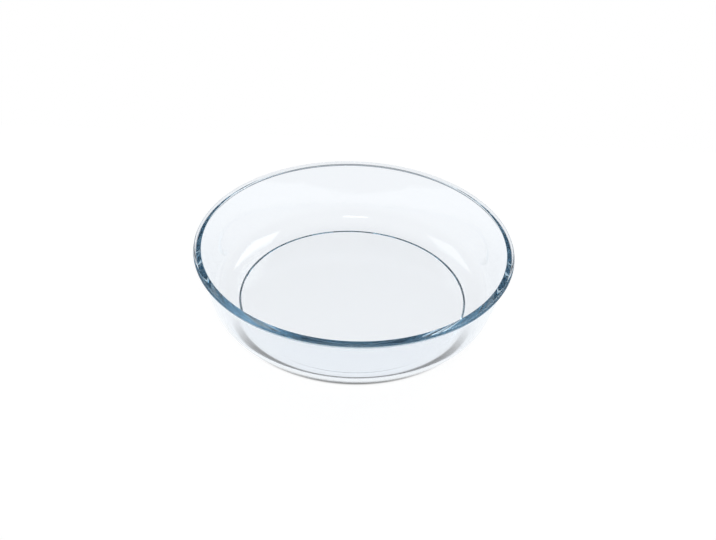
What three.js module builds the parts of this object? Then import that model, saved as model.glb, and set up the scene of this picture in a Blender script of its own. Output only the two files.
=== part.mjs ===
// Round glass cake dish: one pressing of clear glass, open at the top.
// Millimetres, +Z up. The origin is the centre of the flat seat under the base.
import * as THREE from 'three';

// Driving dimensions
const RIM_DIAMETER = 260;
const HEIGHT = 58.3;
const SEAT_DIAMETER = 188;
const BASE_THICKNESS = 4.5;
const WALL_THICKNESS = 4.6;
const LIP_RADIUS = 1.8;
const LIP_OVERHANG = 1.8;
const EDGE_RADIUS = 0.8;
const NECK_RADIUS = 1.2;
const HEEL_RADIUS = 23;
const FLOOR_RADIUS = 16.5;
const SEAM_DEPTH = 1.3;
const SEAM_DRAFT = 0.25;
const SEAM_WIDTH = 1.9;
const FOOT_WIDTH = 0.6;

// Facets
const TURN_STEPS = 96;
const HEEL_STEPS = 11;
const NECK_STEPS = 3;
const LIP_STEPS = 9;
const EDGE_STEPS = 4;

const GLASS = new THREE.MeshStandardMaterial({
  name: 'clear_glass',
  color: 0xdfe9f0,
  roughness: 0.04,
  metalness: 0,
  transparent: true,
  opacity: 0.35,
});

// Points of a round stretch, from one angle to another, in the plane of radius and height.
function arc(centre, radius, from, to, steps) {
  const clockwise = to < from;
  return new THREE.EllipseCurve(centre.x, centre.y, radius, radius, from, to, clockwise).getPoints(steps);
}

// Angle of the outward normal of the straight wall: the line that touches the heel's circle
// and passes the centre of the lip at the given distance.
function wallAngle(heelCentre, lipCentre, lipDistance) {
  const between = lipCentre.clone().sub(heelCentre);
  return between.angle() - Math.acos((HEEL_RADIUS - lipDistance) / between.length());
}

// Centre of the hollow fillet where the outside of the wall turns out into the lip:
// one neck radius off the wall's line, and touching the lip from outside.
function neckCentre(normal, lipCentre, lipDistance) {
  const off = lipDistance + NECK_RADIUS;
  const reach = LIP_RADIUS + NECK_RADIUS;
  const along = new THREE.Vector2(normal.y, -normal.x);
  return lipCentre.clone().addScaledVector(normal, off).addScaledVector(along, Math.sqrt(reach ** 2 - off ** 2));
}

// Point at a given height, at a signed distance outward from the line of the wall's inside.
function besideInsideWall(normal, insideWall, distance, height) {
  return new THREE.Vector2((insideWall + distance - normal.y * height) / normal.x, height);
}

// Section of the dish, from the middle of the seat round the outside and back over the floor.
function dishProfile() {
  const seatRadius = SEAT_DIAMETER / 2;
  const lipCentre = new THREE.Vector2(RIM_DIAMETER / 2 - LIP_RADIUS, HEIGHT - LIP_RADIUS);
  const heelCentre = new THREE.Vector2(seatRadius + SEAM_WIDTH + FOOT_WIDTH, HEEL_RADIUS);

  const lipDistance = LIP_RADIUS - LIP_OVERHANG;
  const angle = wallAngle(heelCentre, lipCentre, lipDistance);
  const normal = new THREE.Vector2(Math.cos(angle), Math.sin(angle));
  const neck = neckCentre(normal, lipCentre, lipDistance);
  const neckToLip = lipCentre.clone().sub(neck).angle();

  // The lip's flat top and the floor each run into the inside of the wall with a round.
  const insideWall = normal.dot(lipCentre) + lipDistance - WALL_THICKNESS;
  const edgeCentre = besideInsideWall(normal, insideWall, EDGE_RADIUS, HEIGHT - EDGE_RADIUS);
  const floorCentre = besideInsideWall(normal, insideWall, -FLOOR_RADIUS, BASE_THICKNESS + FLOOR_RADIUS);

  const up = Math.PI / 2;
  return [
    new THREE.Vector2(0, 0),
    new THREE.Vector2(seatRadius, 0),
    new THREE.Vector2(seatRadius + SEAM_DRAFT, SEAM_DEPTH),
    new THREE.Vector2(seatRadius + SEAM_WIDTH, 0),
    ...arc(heelCentre, HEEL_RADIUS, -up, angle, HEEL_STEPS),
    ...arc(neck, NECK_RADIUS, angle + Math.PI, neckToLip, NECK_STEPS),
    ...arc(lipCentre, LIP_RADIUS, neckToLip - Math.PI, up, LIP_STEPS).slice(1),
    ...arc(edgeCentre, EDGE_RADIUS, up, angle + Math.PI, EDGE_STEPS),
    ...arc(floorCentre, FLOOR_RADIUS, angle, -up, HEEL_STEPS),
    new THREE.Vector2(0, BASE_THICKNESS),
  ];
}

function glassDish() {
  const geometry = new THREE.LatheGeometry(dishProfile(), TURN_STEPS);
  geometry.rotateX(Math.PI / 2);
  const mesh = new THREE.Mesh(geometry, GLASS);
  mesh.name = 'glass_dish';
  return mesh;
}

const dish = new THREE.Group();
dish.add(glassDish());

export default dish;
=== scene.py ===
import math

import bmesh
import bpy
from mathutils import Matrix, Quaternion, Vector


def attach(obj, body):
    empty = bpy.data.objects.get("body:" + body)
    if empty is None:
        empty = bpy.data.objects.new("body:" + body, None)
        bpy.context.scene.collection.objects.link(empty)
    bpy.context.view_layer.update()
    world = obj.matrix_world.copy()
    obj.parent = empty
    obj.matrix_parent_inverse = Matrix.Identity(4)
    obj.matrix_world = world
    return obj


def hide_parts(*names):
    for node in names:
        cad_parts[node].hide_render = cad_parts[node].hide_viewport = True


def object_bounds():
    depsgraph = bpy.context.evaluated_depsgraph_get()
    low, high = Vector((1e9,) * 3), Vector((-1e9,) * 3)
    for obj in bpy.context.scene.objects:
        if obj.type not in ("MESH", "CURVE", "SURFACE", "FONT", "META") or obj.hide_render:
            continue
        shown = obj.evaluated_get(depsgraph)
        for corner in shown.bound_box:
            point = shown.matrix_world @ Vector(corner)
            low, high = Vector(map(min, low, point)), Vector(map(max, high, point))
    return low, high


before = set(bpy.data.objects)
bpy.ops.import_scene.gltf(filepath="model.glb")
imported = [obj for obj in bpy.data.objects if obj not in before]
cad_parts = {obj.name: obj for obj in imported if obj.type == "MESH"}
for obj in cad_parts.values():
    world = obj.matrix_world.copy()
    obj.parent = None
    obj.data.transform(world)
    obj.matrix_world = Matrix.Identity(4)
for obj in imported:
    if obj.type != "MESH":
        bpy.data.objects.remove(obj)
cad_low, cad_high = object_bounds()

# Lengths in metres, angles in degrees. The section's sizes are the solid's own.
MM = 0.001
RIM_RADIUS = (cad_high.x - cad_low.x) / 2
HEIGHT = cad_high.z - cad_low.z
SEAT_RADIUS = 94 * MM
BASE_THICKNESS = 4.5 * MM
WALL_THICKNESS = 4.6 * MM
LIP_RADIUS = 1.8 * MM
LIP_OVERHANG = 1.8 * MM
EDGE_RADIUS = 0.8 * MM
NECK_RADIUS = 1.2 * MM
HEEL_RADIUS = 23 * MM
FLOOR_RADIUS = 16.5 * MM
SEAM_DEPTH = 1.3 * MM
SEAM_DRAFT = 0.25 * MM
SEAM_WIDTH = 1.9 * MM
FOOT_WIDTH = 0.6 * MM

TURN_STEPS = 288
CORNER_ANGLE = 20
HEEL_STEPS = 40
NECK_STEPS = 12
LIP_STEPS = 48

# The photograph's camera, found from the ellipses of the rim and the base.
IMAGE_WIDTH, IMAGE_HEIGHT = 716, 540
SENSOR_WIDTH = 36
FOCAL_PIXELS = 890.9
CAMERA_DISTANCE = 5.6 * RIM_RADIUS
CAMERA_ELEVATION = 34.95
CAMERA_ROLL = 2.18
RIM_CENTRE_PIXEL = (354.5, 242.2)
CLIP_START, CLIP_END = 0.05, 50

# Clear oven glass: a faint tint at the surface, more in the depth of the lip, and a slightly wavy surface.
GLASS_IOR = 1.473
GLASS_SURFACE = (0.955, 0.972, 0.997, 1)
GLASS_TINT = (0.55, 0.72, 0.81, 1)
GLASS_DENSITY = 12
WAVE_SCALE = 28
WAVE_DETAIL = 1
WAVE_HEIGHT = 0.05 * MM

# The white floor ends behind the dish. Its paint is lit and takes shadow, and its own glow does the rest.
FLOOR_BACK = 0.28
FLOOR_REACH = 0.45
FLOOR_DROP = 0.2 * MM
FLOOR_COLOUR = (0.16, 0.16, 0.16, 1)
FLOOR_GLOW = 0.96

# The shade under the front of the heel: where it grows and fades along the radius, and grows along Y.
SHADE_START = (98.5 * MM, 101 * MM)
SHADE_END = (108.6 * MM, 105.2 * MM)
SHADE_FRONT = (-30 * MM, -75 * MM)
SHADE_DEPTH = 0.97

# The surroundings, by the Z of the line of sight: white looking down, grey at eye level, dark overhead.
WHITE = (1, 1, 1, 1)
GREY = (0.33, 0.34, 0.36, 1)
DARK = (0.07, 0.075, 0.08, 1)
CEILING = (0.15, 0.16, 0.18, 1)
BACKDROP = ((-0.28, WHITE), (-0.2, GREY), (0.26, GREY), (0.34, DARK), (1, CEILING))

# Softboxes: turn from +X, height angle, width, height, glow. Two stand behind, a small one above the camera.
SOFTBOX_DISTANCE = 1.2
SOFTBOX_COLOUR = (0.9, 0.97, 1.0)
SOFTBOXES = {
    "right_softbox": (35, 48, 0.7, 0.5, 2.0),
    "left_softbox": (150, 48, 0.7, 0.5, 1.1),
    "front_softbox": (270, 62, 0.3, 0.14, 4.0),
}

# Light runs round inside the thick lip, so it needs many bounces.
LIGHT_BOUNCES = 64


def arc(centre, radius, start, end, steps):
    """Points of a round stretch in the plane of radius and height; angles in radians."""
    angles = [start + (end - start) / steps * i for i in range(steps + 1)]
    return [centre + Vector((math.cos(a), math.sin(a))) * radius for a in angles]


def dish_profile():
    """Section of the dish from the middle of the underside, round the outside and back over the floor."""
    lip = Vector((RIM_RADIUS - LIP_RADIUS, HEIGHT - LIP_RADIUS))
    heel = Vector((SEAT_RADIUS + SEAM_WIDTH + FOOT_WIDTH, HEEL_RADIUS))
    lip_distance = LIP_RADIUS - LIP_OVERHANG
    between = lip - heel
    angle = math.atan2(between.y, between.x) - math.acos((HEEL_RADIUS - lip_distance) / between.length)
    out = Vector((math.cos(angle), math.sin(angle)))
    up = Vector((-out.y, out.x))

    # Outside, a hollow fillet turns the wall out into the lip.
    off, reach = lip_distance + NECK_RADIUS, LIP_RADIUS + NECK_RADIUS
    neck = lip + out * off - up * math.sqrt(reach**2 - off**2)
    to_lip = lip - neck
    neck_end = math.atan2(to_lip.y, to_lip.x)

    inside = out.dot(lip) + lip_distance - WALL_THICKNESS

    def inner_round(radius, height, side):
        """Centre of a round that touches the inside of the wall."""
        return Vector(((inside + side * radius - out.y * height) / out.x, height))

    edge = inner_round(EDGE_RADIUS, HEIGHT - EDGE_RADIUS, 1)
    floor = inner_round(FLOOR_RADIUS, BASE_THICKNESS + FLOOR_RADIUS, -1)

    down = -math.pi / 2
    return [
        Vector((0, 0)),
        Vector((SEAT_RADIUS, 0)),
        Vector((SEAT_RADIUS + SEAM_DRAFT, SEAM_DEPTH)),
        Vector((SEAT_RADIUS + SEAM_WIDTH, 0)),
        *arc(heel, HEEL_RADIUS, down, angle, HEEL_STEPS),
        *arc(neck, NECK_RADIUS, angle + math.pi, neck_end, NECK_STEPS),
        *arc(lip, LIP_RADIUS, neck_end - math.pi, -down, LIP_STEPS)[1:],
        *arc(edge, EDGE_RADIUS, -down, angle + math.pi, NECK_STEPS),
        *arc(floor, FLOOR_RADIUS, angle, down, HEEL_STEPS),
        Vector((0, BASE_THICKNESS)),
    ]


def revolve(name, profile):
    """A closed body of revolution about Z from a section that starts and ends on the axis."""
    bm = bmesh.new()
    poles = bm.verts.new((0, 0, profile[0].y)), bm.verts.new((0, 0, profile[-1].y))
    turns = [2 * math.pi * i / TURN_STEPS for i in range(TURN_STEPS)]
    rings = [
        [bm.verts.new((p.x * math.cos(t), p.x * math.sin(t), p.y)) for t in turns]
        for p in profile[1:-1]
    ]
    for i in range(TURN_STEPS):
        j = (i + 1) % TURN_STEPS
        bm.faces.new((poles[0], rings[0][j], rings[0][i]))
        bm.faces.new((poles[1], rings[-1][i], rings[-1][j]))
        for low, high in zip(rings, rings[1:]):
            bm.faces.new((low[i], low[j], high[j], high[i]))
    bmesh.ops.recalc_face_normals(bm, faces=bm.faces)
    mesh = bpy.data.meshes.new(name)
    bm.to_mesh(mesh)
    bm.free()
    mesh.shade_smooth()
    mesh.set_sharp_from_angle(angle=math.radians(CORNER_ANGLE))
    piece = bpy.data.objects.new(name, mesh)
    bpy.context.collection.objects.link(piece)
    return piece


def glass_material():
    material = bpy.data.materials.new("clear_glass")
    material.use_nodes = True
    nodes, links = material.node_tree.nodes, material.node_tree.links
    shader = nodes["Principled BSDF"]
    shader.inputs["Base Color"].default_value = GLASS_SURFACE
    shader.inputs["Roughness"].default_value = 0.0
    shader.inputs["IOR"].default_value = GLASS_IOR
    shader.inputs["Transmission Weight"].default_value = 1.0
    absorb = nodes.new("ShaderNodeVolumeAbsorption")
    absorb.inputs["Color"].default_value = GLASS_TINT
    absorb.inputs["Density"].default_value = GLASS_DENSITY
    links.new(absorb.outputs["Volume"], nodes["Material Output"].inputs["Volume"])
    coords = nodes.new("ShaderNodeTexCoord")
    waves = nodes.new("ShaderNodeTexNoise")
    waves.inputs["Scale"].default_value = WAVE_SCALE
    waves.inputs["Detail"].default_value = WAVE_DETAIL
    links.new(coords.outputs["Object"], waves.inputs["Vector"])
    bump = nodes.new("ShaderNodeBump")
    bump.inputs["Strength"].default_value = 1.0
    bump.inputs["Distance"].default_value = WAVE_HEIGHT
    links.new(waves.outputs[0], bump.inputs["Height"])
    links.new(bump.outputs["Normal"], shader.inputs["Normal"])
    return material


def make_dish():
    dish = revolve("dish", dish_profile())
    dish.data.materials.append(glass_material())
    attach(dish, "root")
    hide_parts("glass_dish")


def make_camera():
    data = bpy.data.cameras.new("camera")
    data.sensor_width = SENSOR_WIDTH
    data.lens = FOCAL_PIXELS / IMAGE_WIDTH * SENSOR_WIDTH
    data.clip_start, data.clip_end = CLIP_START, CLIP_END
    camera = bpy.data.objects.new("camera", data)
    bpy.context.collection.objects.link(camera)
    elevation, roll = math.radians(CAMERA_ELEVATION), math.radians(CAMERA_ROLL)
    back = Vector((0, -math.cos(elevation), math.sin(elevation)))
    camera.location = Vector((0, 0, HEIGHT - LIP_RADIUS)) + back * CAMERA_DISTANCE
    # The rim's centre shows at its pixel, and the picture is turned by the roll.
    turn = Quaternion((0, 0, 1), roll)
    column, row = RIM_CENTRE_PIXEL
    sight = Vector((column - IMAGE_WIDTH / 2, IMAGE_HEIGHT / 2 - row, -FOCAL_PIXELS))
    aim = (turn @ sight).rotation_difference(Vector((0, 0, -1)))
    camera.rotation_mode = "QUATERNION"
    camera.rotation_quaternion = (-back).to_track_quat("-Z", "Y") @ aim @ turn
    bpy.context.scene.camera = camera


def ease(nodes, links, source, start, end):
    """A soft step from 0 at the start to 1 at the end."""
    node = nodes.new("ShaderNodeMapRange")
    node.interpolation_type = "SMOOTHSTEP"
    node.inputs["From Min"].default_value = start
    node.inputs["From Max"].default_value = end
    links.new(source, node.inputs["Value"])
    return node.outputs[0]


def product(nodes, links, first, second):
    """One output times another."""
    node = nodes.new("ShaderNodeMath")
    node.operation = "MULTIPLY"
    links.new(first, node.inputs[0])
    links.new(second, node.inputs[1])
    return node.outputs[0]


def floor_material():
    material = bpy.data.materials.new("floor")
    material.use_nodes = True
    nodes, links = material.node_tree.nodes, material.node_tree.links
    shader = nodes["Principled BSDF"]
    shader.inputs["Base Color"].default_value = FLOOR_COLOUR
    shader.inputs["Roughness"].default_value = 1.0
    shader.inputs["Specular IOR Level"].default_value = 0.0
    shader.inputs["Emission Color"].default_value = WHITE
    # The glow drops under the front of the heel and stands for the contact shadow there.
    coords = nodes.new("ShaderNodeTexCoord")
    radius = nodes.new("ShaderNodeVectorMath")
    radius.operation = "LENGTH"
    links.new(coords.outputs["Object"], radius.inputs[0])
    split = nodes.new("ShaderNodeSeparateXYZ")
    links.new(coords.outputs["Object"], split.inputs[0])
    shade = ease(nodes, links, radius.outputs["Value"], *SHADE_START)
    shade = product(nodes, links, shade, ease(nodes, links, radius.outputs["Value"], *SHADE_END))
    shade = product(nodes, links, shade, ease(nodes, links, split.outputs["Y"], *SHADE_FRONT))
    glow = nodes.new("ShaderNodeMapRange")
    glow.inputs["To Min"].default_value = FLOOR_GLOW
    glow.inputs["To Max"].default_value = FLOOR_GLOW * (1 - SHADE_DEPTH)
    links.new(shade, glow.inputs["Value"])
    links.new(glow.outputs[0], shader.inputs["Emission Strength"])
    return material


def make_floor():
    mesh = bpy.data.meshes.new("floor")
    corners = [
        (-FLOOR_REACH, -FLOOR_REACH, -FLOOR_DROP),
        (FLOOR_REACH, -FLOOR_REACH, -FLOOR_DROP),
        (FLOOR_REACH, FLOOR_BACK, -FLOOR_DROP),
        (-FLOOR_REACH, FLOOR_BACK, -FLOOR_DROP),
    ]
    mesh.from_pydata(corners, [], [(0, 1, 2, 3)])
    mesh.materials.append(floor_material())
    floor = bpy.data.objects.new("floor", mesh)
    bpy.context.collection.objects.link(floor)


def make_softbox(name, azimuth, elevation, width, height, glow):
    data = bpy.data.lights.new(name, "AREA")
    data.shape = "RECTANGLE"
    data.size, data.size_y = width, height
    data.energy = glow * math.pi * width * height
    data.color = SOFTBOX_COLOUR
    lamp = bpy.data.objects.new(name, data)
    bpy.context.collection.objects.link(lamp)
    turn, rise = math.radians(azimuth), math.radians(elevation)
    away = Vector((math.cos(turn) * math.cos(rise), math.sin(turn) * math.cos(rise), math.sin(rise)))
    lamp.location = away * SOFTBOX_DISTANCE
    lamp.rotation_mode = "QUATERNION"
    lamp.rotation_quaternion = away.to_track_quat("Z", "Y")


def make_world():
    world = bpy.data.worlds.new("studio")
    bpy.context.scene.world = world
    world.use_nodes = True
    nodes, links = world.node_tree.nodes, world.node_tree.links
    coords = nodes.new("ShaderNodeTexCoord")
    split = nodes.new("ShaderNodeSeparateXYZ")
    links.new(coords.outputs["Generated"], split.inputs[0])
    height = nodes.new("ShaderNodeMapRange")
    height.inputs["From Min"].default_value = -1
    links.new(split.outputs["Z"], height.inputs["Value"])
    ramp = nodes.new("ShaderNodeValToRGB")
    stops = ramp.color_ramp.elements
    while len(stops) < len(BACKDROP):
        stops.new(0)
    # The ramp runs from 0, straight down, to 1, straight up.
    for stop, (level, colour) in zip(stops, BACKDROP):
        stop.position = (level + 1) / 2
        stop.color = colour
    links.new(height.outputs[0], ramp.inputs["Fac"])
    links.new(ramp.outputs["Color"], nodes["Background"].inputs["Color"])


def allow_bounces():
    cycles = bpy.context.scene.cycles
    cycles.max_bounces = LIGHT_BOUNCES
    cycles.glossy_bounces = LIGHT_BOUNCES
    cycles.transmission_bounces = LIGHT_BOUNCES


bpy.context.scene.view_settings.view_transform = "Standard"
allow_bounces()
make_camera()
make_dish()
make_floor()
for softbox, values in SOFTBOXES.items():
    make_softbox(softbox, *values)
make_world()
